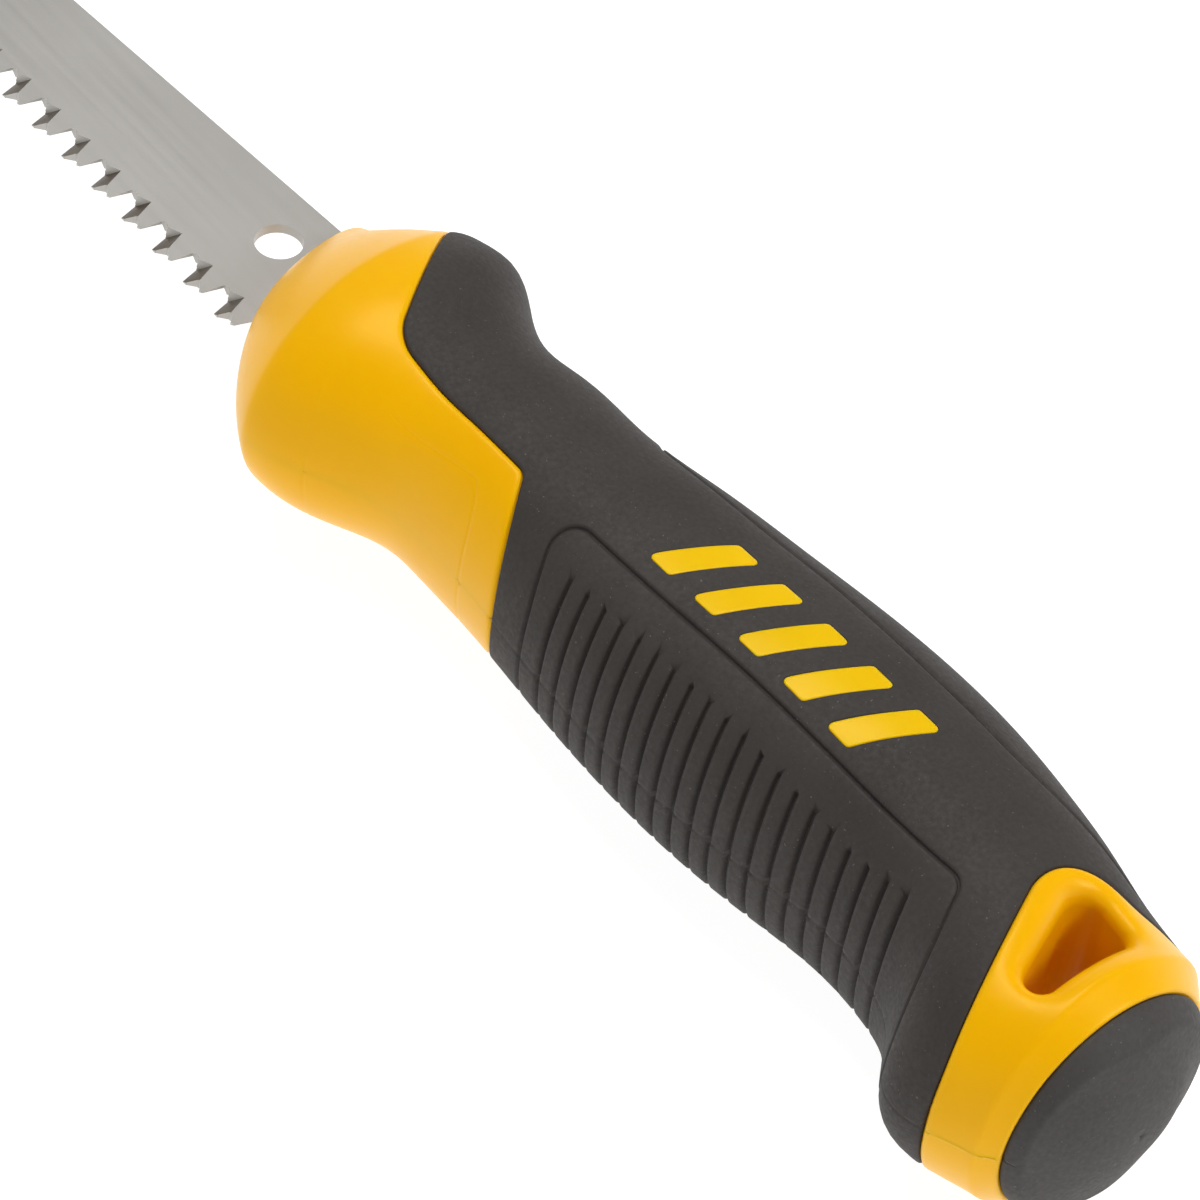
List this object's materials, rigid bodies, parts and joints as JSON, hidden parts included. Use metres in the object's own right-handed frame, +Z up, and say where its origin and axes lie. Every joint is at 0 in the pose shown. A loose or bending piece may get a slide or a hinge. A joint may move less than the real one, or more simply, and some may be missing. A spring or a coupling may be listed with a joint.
{
  "type": "drywall jab saw",
  "caption": "Jab saw for drywall: fixed tapered toothed blade with a round hole, and a soft-grip moulded handle with a hang hole.",
  "frame": {"origin": "on the surface the saw lies on, under the middle of its box, with the saw on its side", "axes": "+Z up, square to the blade; +X along the saw from the blade's tip to the butt; +Y from the teeth to the spine"},
  "size_m": [0.323, 0.0469, 0.0388],
  "materials": {
    "blade_steel": "fine satin, rolled strip with ground tooth facets",
    "pin_steel": "drawn rod",
    "core_plastic": "semi-gloss moulded",
    "grip_rubber": "matte, fine spark texture",
    "inlay_plastic": "semi-gloss moulded",
    "cap_rubber": "matte"
  },
  "bodies": {
    "root": {"blade": "blade_steel", "tang_pin_front": "pin_steel", "tang_pin_rear": "pin_steel", "core_right_shell": "core_plastic", "core_left_shell": "core_plastic", "grip_sleeve": "grip_rubber", "badge_right": "inlay_plastic", "badge_left": "inlay_plastic", "end_cap": "cap_rubber"}
  },
  "joints": []
}
